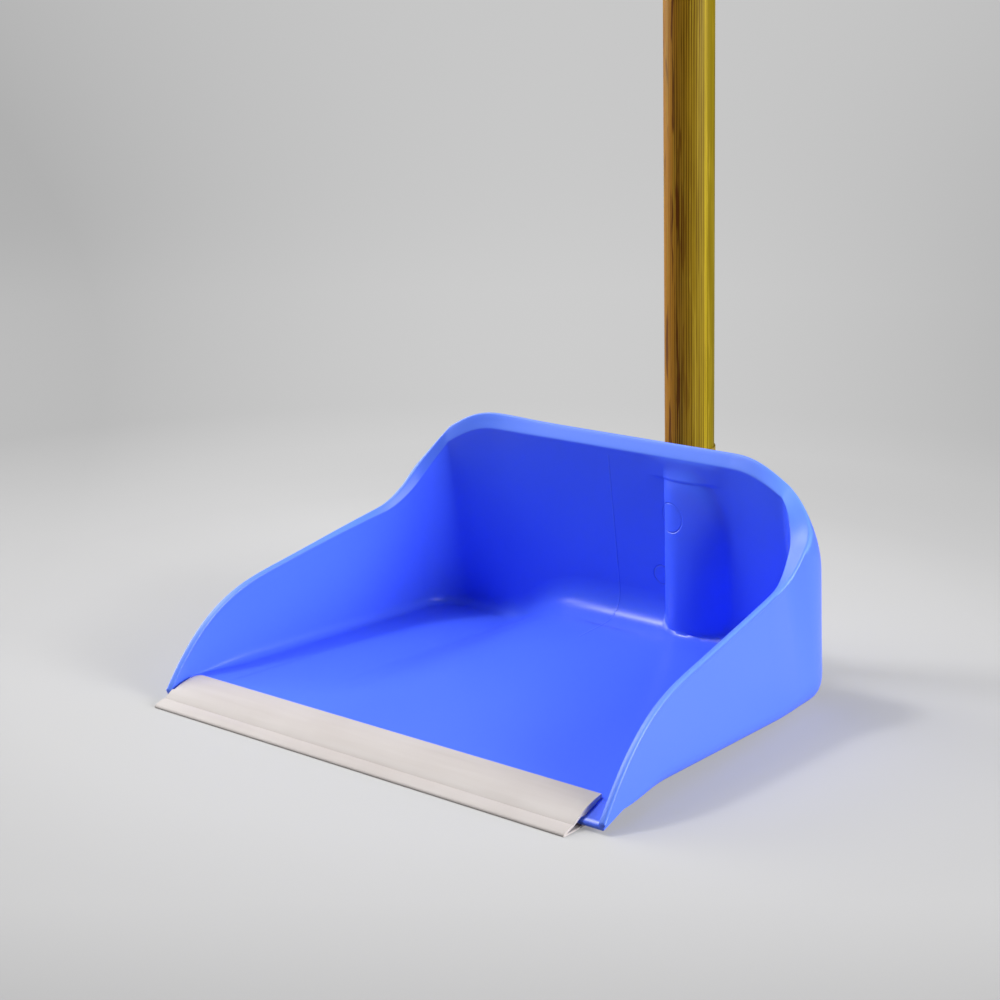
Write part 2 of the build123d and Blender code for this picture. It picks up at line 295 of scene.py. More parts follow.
def panSection(u, side):
    # inner and outer face of the wall with its foot, both from the foot to the crest of the rim
    x, y, turn = wallPlace(u)
    across = Vector((cos(turn), sin(turn), 0))
    leaning = min(u / sideLength, 1)
    cornered = eased(1 - abs(u - cornerMiddle) / panForm["cornerRun"])
    up = Vector((-panForm["sideLean"] * leaning * cos(turn), -panForm["backLean"] * leaning, 1))
    up -= across * panForm["cornerLean"] * cornered
    base = Vector((x, y, 0))

    def floorAt(out):
        z = floorHeight(side * x, y)
        for _ in range(3):
            point = base + across * out + up * z
            z = floorHeight(side * point.x, point.y)
        return z

    rim = rimHeight(u)
    widened = eased((u - flarePeak) / panForm["flareRun"] + 1)
    past = eased((u - flarePeak) / panForm["flareRun"])
    flare, rise = (
        a + (b - a) * widened + (c - b) * past
        for a, b, c in zip(panForm["sideFlare"], panForm["cornerFlare"], panForm["backFlare"])
    )
    if side < 0:
        rim -= leftAdded(u, "drop")
        flare += leftAdded(u, "flare")
        rise += leftAdded(u, "rise")
    slope = hypot(flare, rise)
    along = (flare / slope, rise / slope)
    square = (rise / slope, -flare / slope)
    filled = eased(1 - abs(u - cornerMiddle) / panForm["fillRun"])
    shoulder = rim - wall * along[0] + wall * (slope - rise) / flare * along[1]
    shoulder -= panForm["shoulderDrop"] * filled
    grown = eased((u - panForm["rampRun"]) / panForm["filletRun"])
    if side > 0:
        ahead = panForm["backAhead"]
        atBack = eased((u - sideLength + ahead) / (cornerLength + ahead + panForm["backPast"]))
    else:
        atBack = eased((u - cornerEnd) / panForm["leftRun"])
    filletWide = between(panForm["sideFillet"], panForm["backFillet"], atBack)
    filletIn = between(panForm["frontFillet"], filletWide, grown)
    rounder = panForm["cornerFillet"] * cornered if side > 0 else 0
    filletOut = between(panForm["frontFillet"], panForm["outerFillet"] + rounder, grown)
    heel = floorAt(0)
    sole = heel - floorThickness(y)
    lift = min(panForm["rimRound"], panForm["rimRoundShare"] * (rim - heel - filletIn))
    crest = (flare + square[0] * wall / 2, rim + rise + square[1] * wall / 2)
    crestArc = [
        tuple(c + wall / 2 * (-n * cos(t) + d * sin(t)) for c, n, d in zip(crest, square, along))
        for t in (pi * k / (2 * panForm["crestSteps"]) for k in range(2 * panForm["crestSteps"] + 1))
    ]

    def outerAt(z):
        return (wall + panForm["cornerFill"] * z * filled, z)

    def faceRun(low, high):
        shares = [0.5 - 0.5 * cos(pi * k / panForm["wallSteps"]) for k in range(1, panForm["wallSteps"] + 1)]
        return [between(low, high, t) for t in sorted(shares + panForm["collarShares"])]

    inner = [(out, floorAt(out)) for out in (-foot, between(-foot, -filletIn, 0.5), -filletIn)]
    inner += bend(inner[-1], (0, heel), (0, heel + filletIn), panForm["filletSteps"])
    inner += [(0, z) for z in faceRun(heel + filletIn, rim - lift)]
    inner += bend((0, rim - lift), (0, rim), (along[0] * lift, rim + along[1] * lift), 3)
    inner += run(inner[-1], (flare, rim + rise), 3) + crestArc[1:panForm["crestSteps"] + 1]
    outer = [(-foot, floorAt(-foot) - floorThickness(y))]
    outer += run(outer[-1], (wall - filletOut, sole), 2)
    outer += bend(outer[-1], outerAt(sole), outerAt(sole + filletOut), panForm["filletSteps"])
    # below the rim a lip at the sides and the back, and one round shoulder at the filled corners
    apex = crestArc[panForm["crestSteps"]]
    meet = (outerAt(apex[1])[0] - apex[0]) / (square[0] - square[1] * panForm["cornerFill"])
    corner = tuple(p + n * meet for p, n in zip(apex, square))
    faceTop = between(shoulder - 2 * lift, corner[1] - meet, filled)
    outer += [outerAt(z) for z in faceRun(sole + filletOut, faceTop)]
    under = crestArc[-1]
    shoulderEnd = tuple(between(a, b, panForm["shoulderShare"]) for a, b in zip(outerAt(shoulder), under))
    lip = bend(outerAt(shoulder - 2 * lift), outerAt(shoulder), shoulderEnd, 3)
    lip += run(lip[-1], under, 3) + crestArc[-2:panForm["crestSteps"] - 1:-1]
    rounded = bend(outerAt(corner[1] - meet), corner, apex, len(lip))
    outer += [tuple(between(a, b, filled) for a, b in zip(p, q)) for p, q in zip(lip, rounded)]

    bossed = side > 0 and u > cornerEnd
    sway = 0
    if bossed:
        sway = eased((bossForm["swayReach"] - abs(x - bossForm["apex"][0])) / bossForm["swayFade"])

    def placed(out, z, face):
        shift = sway * (bossApex(z) - bossForm["apex"][0])
        if bossed and face == "inner" and z < rim:
            out = -softMax(-out, bossRise(x + shift, z), bossForm["blend"]) - collarRise(x + shift, z, rim)
        point = base + across * out + up * z
        # points on the rim get the share that the material paints lighter: painted sheen
        paintedRimSheen = 1.0 if z > rim - 0.01 else 0.0
        return (side * (point.x + shift), point.y, point.z, paintedRimSheen)

    return [placed(*p, "inner") for p in inner], [placed(*p, "outer") for p in outer[:-1]]


def panStations():
    # places along the wall on the right, then the left; closer together round the boss
    ramp = panForm["rampRun"] / cos(taper)
    sides = [ramp * k / panForm["rampSteps"] for k in range(panForm["rampSteps"])]
    sides += [between(ramp, sideLength, k / panForm["sideSteps"]) for k in range(panForm["sideSteps"] + 1)]
    turns = panForm["cornerSteps"]
    corner = [between(sideLength, cornerEnd, k / turns) for k in range(1, turns + 1)]
    apex, left, right = bossForm["apex"][0], bossForm["left"], bossForm["right"]
    cuts = bossForm["cuts"]
    bossed = [apex + right * k / cuts for k in range(cuts, 0, -1)]
    bossed += [apex - left * sin(pi / 2 * k / cuts) for k in range(cuts + 1)]
    bossed += [apex - left - step for step in bossForm["leftCuts"]]
    plain = [cornerX - panForm["backStep"] * k for k in range(1, int(cornerX / panForm["backStep"]))]
    places = [x for x in plain if x > bossed[0] + 1 or x < bossed[-1] - 1]
    rightBack = sorted(places + bossed + [0], reverse=True)
    leftBack = sorted(plain)
    onRight = sides + corner + [cornerEnd + cornerX - x for x in rightBack]
    onLeft = [cornerEnd + cornerX - x for x in leftBack] + corner[::-1] + sides[::-1]
    return [(u, 1) for u in onRight] + [(u, -1) for u in onLeft], len(sides)


def panSkin():
    stations, sideCount = panStations()
    points = []
    faces = []
    rimSheenShares = []

    def put(point):
        points.append(tuple(point)[:3])
        rimSheenShares.append(point[3] if len(point) > 3 else 0.0)
        return len(points) - 1

    def face(*corners):
        ring = [c for k, c in enumerate(corners) if c != corners[k - 1]]
        if len(ring) > 2:
            faces.append(ring)

    inner, outer = [], []
    for u, side in stations:
        within, without = panSection(u, side)
        inner.append([put(p) for p in within])
        outer.append([put(p) for p in without] + [inner[-1][-1]])
    count = len(inner[0])
    for a in range(len(stations) - 1):
        for k in range(count - 1):
            face(inner[a][k], inner[a + 1][k], inner[a + 1][k + 1], inner[a][k + 1])
            face(outer[a][k], outer[a][k + 1], outer[a + 1][k + 1], outer[a + 1][k])

    # floor and underside: rows across the pan, then a strip up to the feet of the corners and the back
    last = sideCount - 1
    backFeet = range(last, len(stations) - last)
    reach = points[inner[last][0]][0]
    shares = [points[inner[s][0]][0] / reach for s in backFeet]

    def sheet(feet, drop):
        rows = []
        for k in range(sideCount):
            right, left = feet[k], feet[len(stations) - 1 - k]
            x, y, _ = points[right]
            middle = [put((x * c, y, floorHeight(x * c, y) - drop * floorThickness(y))) for c in shares[1:-1]]
            rows.append([right] + middle + [left])
        startY = points[feet[last]][1]
        for k in range(1, panForm["stripRows"]):
            row = [feet[last]]
            for s in backFeet[1:-1]:
                x, y = points[feet[s]][0], between(startY, points[feet[s]][1], k / panForm["stripRows"])
                row.append(put((x, y, floorHeight(x, y) - drop * wall)))
            rows.append(row + [feet[backFeet[-1]]])
        rows.append([feet[s] for s in backFeet])
        for a, b in zip(rows, rows[1:]):
            for k in range(len(shares) - 1):
                face(a[k], a[k + 1], b[k + 1], b[k])
        return rows[0]

    top = sheet([ring[0] for ring in inner], 0)
    bottom = sheet([ring[0] for ring in outer], 1)

    # rounded front edge, from the right tip along the floor to the left tip
    above = inner[0][::-1] + top[1:-1] + inner[-1]
    below = outer[0][::-1] + bottom[1:-1] + outer[-1]
    middle = []
    for a, b in zip(above, below):
        level = (Vector(points[a]) + Vector(points[b])) / 2
        forward = min(panForm["edgeRound"], (Vector(points[a]) - Vector(points[b])).length / 2)
        middle.append(a if a == b else put(level - Vector((0, forward, 0))))
    for k in range(len(above) - 1):
        face(above[k], middle[k], middle[k + 1], above[k + 1])
        face(middle[k], below[k], below[k + 1], middle[k + 1])
    return points, faces, rimSheenShares


def socketSkin(points, faces):
    # tube and collar behind the wall, turned about the stick's axis and let into the wall
    form = socketForm
    mouth, rounding = form["mouth"], form["round"]
    base = mouth - form["depth"] - form["end"]
    collarBase = mouth - form["collarHeight"]
    outside = [(0, base), (form["tubeBase"] - rounding, base)]
    outside += bend(outside[-1], (form["tubeBase"], base), (form["tubeBase"], base + rounding), 3)
    outside += run(outside[-1], (form["tubeTop"], collarBase - rounding), 10)
    outside += bend(outside[-1], (form["tubeTop"], collarBase), (form["tubeTop"] + rounding, collarBase), 3)
    outside += run(outside[-1], (form["collar"] - rounding, collarBase), 1)
    outside += bend(outside[-1], (form["collar"], collarBase), (form["collar"], collarBase + rounding), 3)
    outside += run(outside[-1], (form["collar"], mouth - rounding), 3)
    outside += bend(outside[-1], (form["collar"], mouth), (form["collar"] - rounding, mouth), 3)
    inside = run(outside[-1], (form["mouthRadius"] + rounding, mouth), 2)
    inside += bend(inside[-1], (form["mouthRadius"], mouth), (form["mouthRadius"], mouth - rounding), 3)
    inside += run(inside[-1], (form["tipRadius"], mouth - form["depth"]), 6) + [(0, mouth - form["depth"])]

    def boreRadius(s):
        return between(form["mouthRadius"], form["tipRadius"], (mouth - s) / form["depth"])

    rings = []
    for k, (radius, s) in enumerate(outside + inside):
        ring = []
        for step in range(form["around"] if radius else 1):
            angle = 2 * pi * step / form["around"]
            across = radius * cos(angle)
            deep = radius * sin(angle)
            point = (stickFrame @ (Vector((across, deep, s)) * mm)) / mm
            if k < len(outside):
                limit = backY - panForm["backLean"] * point.z + wall / 2
                bore = boreRadius(s)
                if s > mouth - form["depth"] and abs(across) < bore:
                    limit = min(limit, point.y - deep - sqrt(bore * bore - across * across) - wall / 4)
                point.y = max(point.y, limit)
            points.append(tuple(point))
            ring.append(len(points) - 1)
        rings.append(ring)
    for a, b in zip(rings, rings[1:]):
        for step in range(form["around"]):
            after = (step + 1) % form["around"]
            corners = [a[step % len(a)], a[after % len(a)], b[after % len(b)], b[step % len(b)]]
            faces.append([c for i, c in enumerate(corners) if c != corners[i - 1]])


panPoints, panFaces, rimSheenShares = panSkin()
socketSkin(panPoints, panFaces)
rimSheenShares += [0.0] * (len(panPoints) - len(rimSheenShares))
pan = skin("panSkin", panPoints, panFaces, "scoop", "blue_plastic", "pan", rimSheenShares)
print("pan skin:", len(panPoints), "points")

# soft strip clipped on the front edge, in millimetres from that edge: a bent sheet, a bead and a leg below
stripForm = {
    "lipReach": 12.0,
    "legReach": 9.0,
    "leg": 1.5,
    "gap": 0.1,
    "sheet": 1.6,
    "crown": (2.0, 8.4),          # pulls the upper face up
    "bead": [(0.35, 1.1), (1.1, 1.6), (2.6, 2.15), (4.2, 2.65),
             (5.6, 3.05), (6.2, 3.15), (6.8, 2.75), (7.4, 3.35)],
    "hollow": 9.0,                # open between sheet and leg, ahead of the pan's edge
    "hollowLeg": 0.7,
    "hollowRound": 0.5,
    "under": [(2.0, 0.8, 5), (0.0, 1.2, 1)],   # sheet's underside: from the edge, above it, steps
    "underFront": (-4.6, 2.5),
    "hollowLift": 0.4,            # underside above the leg at the hollow's front
    "sheetSlope": 0.05,           # the sheet's back end lies this much lower
    "sheetDip": 0.2,
    "legStep": 0.6,               # where the leg thickens, on both sides of the edge
    "legRound": 0.4,
    "round": 0.6,
    "cornerRound": 6.0,           # plan radius at the back of the left end
    "cornerSteps": 10,
    "steps": 60,
}


def stripProfile(form):
    ramp = panForm["rampRun"]
    sheetTop = panForm["rampHeight"] + form["gap"] + form["sheet"]
    rounding = form["round"]
    lip = -form["lipReach"]
    leg = form["leg"]
    legEnd = form["legReach"]
    hollow = -form["hollow"]
    low = form["hollowLeg"]
    outline = [(lip + rounding / 2, 0)]
    outline += bend(outline[-1], (lip, 0), (lip, rounding), 3)
    outline += [(lip + y, z) for y, z in form["bead"]]
    sheetLow = sheetTop - form["sheet"]
    outline += bend(outline[-1], form["crown"], (ramp - rounding, sheetTop - form["sheetSlope"]), 14)
    outline += bend(outline[-1], (ramp, sheetTop), (ramp, sheetTop - form["sheet"] / 2), 3)
    outline += bend(outline[-1], (ramp, sheetLow), (ramp - rounding, sheetLow - form["sheetDip"]), 3)
    for y, rise, steps in form["under"]:
        outline += run(outline[-1], (y, edgeTop + rise), steps)
    outline += run(outline[-1], form["underFront"], 3)
    outline += run(outline[-1], (hollow, low + form["hollowLift"]), 3)
    outline += bend(outline[-1], (hollow - form["hollowRound"], low), (hollow, low), 2)
    outline += run(outline[-1], (-form["legStep"], low), 3)
    outline += bend(outline[-1], (0, low), (form["legStep"], leg), 2)
    outline += run(outline[-1], (legEnd - form["legRound"], leg), 4)
    outline += bend(outline[-1], (legEnd, leg), (legEnd, leg / 2), 2)
    outline += bend(outline[-1], (legEnd, 0), (legEnd - form["legRound"], 0), 2)
    return outline + run(outline[-1], outline[0], 5)[:-1]


def stripSkin(form):
    low, high = (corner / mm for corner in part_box("lip_strip"))
    profile = stripProfile(form)
    length = high.x - low.x
    curve = form["cornerRound"]
    turns = form["cornerSteps"]
    offsets = [curve * (1 - cos(pi / 2 * k / turns)) for k in range(turns)]
    offsets += [between(curve, length, k / form["steps"]) for k in range(form["steps"] + 1)]
    points, faces = [], []
    for offset in offsets:
        short = curve - sqrt(max(0, curve ** 2 - max(0, curve - offset) ** 2))
        share = 1 - short / panForm["rampRun"]
        for y, z in profile:
            if y > 0 and z > edgeTop:
                y, z = y * share, between(edgeTop, z, share)
            points.append((low.x + offset, frontY + y, z))
    count = len(profile)
    for a in range(len(offsets) - 1):
        for k in range(count):
            b = (k + 1) % count
            faces.append((a * count + k, a * count + b, (a + 1) * count + b, (a + 1) * count + k))
    faces.append(tuple(range(count)))
    faces.append(tuple(len(points) - 1 - k for k in range(count)))
    return points, faces


strip = skin("lipStripSkin", *stripSkin(stripForm), "scoop", "soft_strip", "lip_strip")
print("strip skin made")


def newMaterial(name):
    material = bpy.data.materials.new(name)
    material.use_nodes = True
    tree = material.node_tree
    tree.nodes.clear()
    output = tree.nodes.new("ShaderNodeOutputMaterial")
    shader = tree.nodes.new("ShaderNodeBsdfPrincipled")
    tree.links.new(shader.outputs[0], output.inputs[0])
    return material, tree, shader


def addNode(tree, kind, inputs=None, **settings):
    node = tree.nodes.new("ShaderNode" + kind)
    for key, value in settings.items():
        setattr(node, key, value)
    for key, value in (inputs or {}).items():
        if isinstance(value, bpy.types.NodeSocket):
            tree.links.new(value, node.inputs[key])
        else:
            node.inputs[key].default_value = value
    return node


def addMath(tree, operation, a, b=0.0):
    return addNode(tree, "Math", {0: a, 1: b}, operation=operation).outputs[0]


def addRamp(tree, factor, stops):
    ramp = addNode(tree, "ValToRGB", {"Fac": factor})
    elements = ramp.color_ramp.elements
    while len(elements) < len(stops):
        elements.new(0.5)
    for element, (place, colour) in zip(elements, stops):
        element.position = place
        element.color = (*colour, 1)
    return ramp.outputs["Color"]


def greys(stops):
    return [(place, (value, value, value)) for place, value in stops]


def addMix(tree, factor, a, b):
    node = addNode(tree, "Mix", {"Factor": factor}, data_type="RGBA")
    for socket, value in ((node.inputs[6], a), (node.inputs[7], b)):
        if isinstance(value, bpy.types.NodeSocket):
            tree.links.new(value, socket)
        else:
            socket.default_value = (*value, 1)
    return node.outputs[2]


def objectPoint(tree):
    return addNode(tree, "TexCoord").outputs["Object"]


def mapped(tree, point, **inputs):
    return addNode(tree, "Mapping", {"Vector": point, **inputs}).outputs["Vector"]


def noise(tree, point, scale, detail=2.0):
    return addNode(tree, "TexNoise", {"Vector": point, "Scale": scale, "Detail": detail}).outputs["Fac"]


def spread(tree, factor, low, high, start=0.3, end=0.7):
    node = addNode(tree, "MapRange", {"Value": factor, "From Min": start, "From Max": end,
                                      "To Min": low, "To Max": high})
    return node.outputs["Result"]


def addBump(tree, shader, height, strength, distance, invert=False):
    inputs = {"Height": height, "Strength": strength, "Distance": distance * mm}
    bump = addNode(tree, "Bump", inputs, invert=invert)
    tree.links.new(bump.outputs["Normal"], shader.inputs["Normal"])


# moulded blue plastic of the pan, with the marks that its mould leaves; the rim is painted lighter as a
# painted sheen, and the marks are painted darker as painted shade
blueFinish = {
    "deep": (0.076, 0.167, 0.965),
    "light": (0.083, 0.178, 0.99),
    # lighter, paler blue on the rim: painted sheen for the light its upturned face catches
    "rim": (0.110, 0.245, 0.99),
    "roughness": (0.29, 0.33),
    "rimRougher": 0.16,
    "cloudScale": 7.0,
    "pins": [(37.3, 78.0, 7.4), (27.0, 45.0, 5.0)],   # round marks on the back wall: x, z and radius
    "markWidth": 0.6,
    "markTop": 104.0,             # marks stay below this height and this near the back
    "markNear": 40.0,
    "markShade": 0.80,
    "markBump": (0.6, 0.5),       # strength, and depth in millimetres
    "ringShownScale": 90.0,
    "ringShown": (0.35, 1.0),          # share of a ring that shows
    "seamShade": 0.93,
    "seamBump": 0.5,
    "refraction": 1.5,
}


def bluePlastic(finish):
    material, tree, shader = newMaterial("bluePlastic")
    point = objectPoint(tree)
    cloud = noise(tree, point, finish["cloudScale"], 3)
    ground = addRamp(tree, cloud, [(0.3, finish["deep"]), (0.7, finish["light"])])
    # the rim is painted lighter (painted sheen) and made a little rougher
    paintedRimSheen = addNode(tree, "Attribute", attribute_name="rim").outputs["Fac"]
    ground = addMix(tree, paintedRimSheen, ground, finish["rim"])
    rougher = addMath(tree, "MULTIPLY", paintedRimSheen, finish["rimRougher"])
    rough = addMath(tree, "ADD", spread(tree, cloud, *finish["roughness"]), rougher)
    tree.links.new(rough, shader.inputs["Roughness"])
    place = addNode(tree, "SeparateXYZ", {0: point})
    x, y, z = (place.outputs[k] for k in range(3))
    nearBack = addMath(tree, "GREATER_THAN", y, (backY - finish["markNear"]) * mm)
    onBack = addMath(tree, "MULTIPLY", nearBack, addMath(tree, "LESS_THAN", z, finish["markTop"] * mm))

    def groove(distance):
        limits = {"From Max": finish["markWidth"] * mm, "To Min": 1.0, "To Max": 0.0}
        node = addNode(tree, "MapRange", {"Value": distance, **limits}, interpolation_type="SMOOTHSTEP")
        return addMath(tree, "MULTIPLY", node.outputs["Result"], onBack)

    rings = []
    for pinX, pinZ, radius in finish["pins"]:
        reach = addNode(tree, "CombineXYZ", {0: addMath(tree, "SUBTRACT", x, pinX * mm),
                                             1: addMath(tree, "SUBTRACT", z, pinZ * mm)}).outputs[0]
        apart = addNode(tree, "VectorMath", {0: reach}, operation="LENGTH").outputs["Value"]
        rings.append(addMath(tree, "ABSOLUTE", addMath(tree, "SUBTRACT", apart, radius * mm)))
    ringShown = spread(tree, noise(tree, point, finish["ringShownScale"], 1), *finish["ringShown"], 0.36, 0.56)
    ring = addMath(tree, "MULTIPLY", groove(addMath(tree, "MINIMUM", *rings)), ringShown)
    seam = groove(addMath(tree, "ABSOLUTE", x))                 # the mould's middle line
    # the rings and the middle line are painted darker: painted shade in and beside their grooves
    shade = addMath(tree, "MULTIPLY", spread(tree, ring, 1.0, finish["markShade"], 0.0, 1.0),
                    spread(tree, seam, 1.0, finish["seamShade"], 0.0, 1.0))
    colour = addNode(tree, "VectorMath", {0: ground, 3: shade}, operation="SCALE").outputs[0]
    tree.links.new(colour, shader.inputs["Base Color"])
    sunk = addMath(tree, "SUBTRACT", ring, addMath(tree, "MULTIPLY", seam, finish["seamBump"]))
    addBump(tree, shader, sunk, *finish["markBump"], invert=True)
    shader.inputs["IOR"].default_value = finish["refraction"]
    return material


# soft strip along the front edge
stripFinish = {
    "dark": (0.475, 0.430, 0.410),
    "pale": (0.520, 0.480, 0.462),
    "roughness": (0.55, 0.65),
    "drawn": 0.08,                # patterns drawn out along the strip
    "cloud": (22.0, 0.6),         # scale and share
    "streak": (260.0, 0.4),
    "grainScale": 500.0,
    "grainBump": (0.08, 0.3),
}


def softStrip(finish):
    material, tree, shader = newMaterial("softStrip")
    point = objectPoint(tree)
    drawn = mapped(tree, point, Scale=(finish["drawn"], 1, 1))
    cloudScale, cloudShare = finish["cloud"]
    streakScale, streakShare = finish["streak"]
    cloud = addMath(tree, "MULTIPLY", noise(tree, point, cloudScale, 3), cloudShare)
    streak = addMath(tree, "MULTIPLY", noise(tree, drawn, streakScale), streakShare)
    stops = [(0.35, finish["dark"]), (0.62, finish["pale"])]
    colour = addRamp(tree, addMath(tree, "ADD", cloud, streak), stops)
    tree.links.new(colour, shader.inputs["Base Color"])
    grain = noise(tree, drawn, finish["grainScale"])
    tree.links.new(spread(tree, grain, *finish["roughness"]), shader.inputs["Roughness"])
    addBump(tree, shader, grain, *finish["grainBump"])
    return material


def stickPoint(tree):
    # object coordinates turned into the stick's own frame
    turned = addNode(tree, "Mapping", {"Vector": objectPoint(tree), "Location": stickFoot,
                                       "Rotation": stickFrame.to_euler()}, vector_type="TEXTURE")
    return turned.outputs["Vector"]


# printed film on the stick: a wood grain, ochre on the left and olive on the right as the camera sees it,
# with painted light on the lit left, a painted highlight band near the right and painted shade towards the
# right edge
filmFinish = {
    # across the stick, left to right: the stop at 0.78 is a painted highlight band, the last stops darken as
    # painted shade
    "ground": [(0.0, (0.40, 0.165, 0.008)), (0.14, (0.47, 0.20, 0.010)), (0.30, (0.37, 0.19, 0.012)),
               (0.55, (0.26, 0.165, 0.006)), (0.74, (0.26, 0.180, 0.003)), (0.78, (0.46, 0.34, 0.010)),
               (0.82, (0.22, 0.160, 0.002)), (1.0, (0.155, 0.125, 0.001))],
    "lineShare": [(0.0, 0.35), (0.16, 0.6), (0.25, 0.95), (0.55, 0.9), (0.75, 0.6), (1.0, 0.5)],
    "streak": (0.120, 0.030, 0.001),
    "line": (0.095, 0.040, 0.001),
    "pale": (0.52, 0.37, 0.030),
    "lineCount": 62,              # round the whole stick
    "lineWander": 9.0,
    "turn": 38.0,                 # degrees round the stick, turned to the camera, where the painted light and shade across the stick runs
    "radius": 12.3,
    "roughness": (0.45, 0.55),
    "sheen": 0.1,
    "wander": (0.5, 60.0),        # length and scale
    "sway": 0.5,                  # millimetres to each side
    # patterns drawn out along the stick: length, shift, scale and detail
    "flames": (0.06, 0.0, 420.0, 2),
    "drift": (0.05, 0.21, 130.0, 2),
    "weight": (0.03, 0.65, 520.0, 2),
    "paleLines": (0.012, 0.43, 900.0, 1),
    "rippleScale": 260.0,
    "rippleBump": (0.10, 0.4),
}


def grainFilm(finish):
    material, tree, shader = newMaterial("grainFilm")
    point = stickPoint(tree)
    turned = mapped(tree, point, Rotation=(0, 0, -radians(finish["turn"])))
    across, along = addNode(tree, "SeparateXYZ", {0: turned}).outputs[:2]
    share = spread(tree, across, 0.0, 1.0, -finish["radius"] * mm, finish["radius"] * mm)
    # colour across the stick as the camera sees it: print colour with painted light, highlight and shade
    ground = addRamp(tree, share, finish["ground"])
    wanderLength, wanderScale = finish["wander"]
    wander = noise(tree, mapped(tree, point, Scale=(1, 1, wanderLength)), wanderScale)
    aside = spread(tree, wander, -finish["sway"] * mm, finish["sway"] * mm)
    sway = addNode(tree, "CombineXYZ", {0: aside}).outputs[0]
    wavy = addNode(tree, "VectorMath", {0: point, 1: sway}, operation="ADD").outputs[0]

    def pattern(length, shift, scale, detail):
        drawn = mapped(tree, wavy, Scale=(1, 1, length), Location=(shift, shift, shift))
        return noise(tree, drawn, scale, detail)

    # tapering brown streaks on the ochre side, fine dark and pale lines all round
    flame = spread(tree, pattern(*finish["flames"]), 0.0, 0.9, 0.56, 0.63)
    ochre = spread(tree, share, 1.0, 0.0, 0.25, 0.50)
    drift = pattern(*finish["drift"])
    turns = addMath(tree, "MULTIPLY", addMath(tree, "ARCTAN2", along, across), finish["lineCount"])
    phase = addMath(tree, "ADD", turns, addMath(tree, "MULTIPLY", drift, finish["lineWander"]))
    weight = spread(tree, pattern(*finish["weight"]), -0.75, 0.75, 0.30, 0.70)
    lines = spread(tree, addMath(tree, "ADD", addMath(tree, "SINE", phase), weight), 0.0, 1.0, -0.2, 1.0)
    lineShare = addRamp(tree, share, greys(finish["lineShare"]))
    dark = addMath(tree, "MULTIPLY", lines, lineShare)
    pale = spread(tree, pattern(*finish["paleLines"]), 0.0, 0.35, 0.56, 0.68)
    colour = addMix(tree, pale, ground, finish["pale"])
    colour = addMix(tree, dark, colour, finish["line"])
    colour = addMix(tree, addMath(tree, "MULTIPLY", flame, ochre), colour, finish["streak"])
    tree.links.new(colour, shader.inputs["Base Color"])
    tree.links.new(spread(tree, dark, *finish["roughness"], 0.0, 0.75), shader.inputs["Roughness"])
    shader.inputs["Specular IOR Level"].default_value = finish["sheen"]
    addBump(tree, shader, noise(tree, point, finish["rippleScale"]), *finish["rippleBump"])
    return material


# bare wood of the core and matt plastic of the cap and ferrule
woodFinish = {
    "dark": (0.42, 0.27, 0.13),
    "pale": (0.66, 0.49, 0.29),
    "drawn": 0.05,                # grain drawn out along the stick
    "scale": 300.0,
    "roughness": 0.65,
}
capGrain = {"cloudScale": 30.0, "grainScale": 800.0, "bump": (0.06, 0.2)}
capFinish = {"deep": (0.045, 0.095, 0.62), "light": (0.06, 0.12, 0.72), "roughness": (0.36, 0.48)}
plugFinish = {"deep": (0.22, 0.145, 0.012), "light": (0.28, 0.185, 0.018), "roughness": (0.40, 0.52)}


def stickWood(finish):
    material, tree, shader = newMaterial("stickWood")
    streak = noise(tree, mapped(tree, stickPoint(tree), Scale=(1, 1, finish["drawn"])), finish["scale"], 3)
    colour = addRamp(tree, streak, [(0.3, finish["dark"]), (0.7, finish["pale"])])
    tree.links.new(colour, shader.inputs["Base Color"])
    shader.inputs["Roughness"].default_value = finish["roughness"]
    return material


def capPlastic(name, finish):
    material, tree, shader = newMaterial(name)
    point = objectPoint(tree)
    cloud = noise(tree, point, capGrain["cloudScale"], 3)
    colour = addRamp(tree, cloud, [(0.3, finish["deep"]), (0.7, finish["light"])])
    tree.links.new(colour, shader.inputs["Base Color"])
    grain = noise(tree, point, capGrain["grainScale"])
    tree.links.new(spread(tree, grain, *finish["roughness"]), shader.inputs["Roughness"])
    addBump(tree, shader, grain, *capGrain["bump"])
    return material


pan.data.materials.append(bluePlastic(blueFinish))
strip.data.materials.append(softStrip(stripFinish))
finishes = {
    "film_sleeve": grainFilm(filmFinish),
    "stick_core": stickWood(woodFinish),
    "hang_cap": capPlastic("capPlastic", capFinish),
    "ferrule": capPlastic("plugPlastic", plugFinish),
}
for name, material in finishes.items():
    nodes[name].data.materials.clear()
    nodes[name].data.materials.append(material)
print("finishes set")

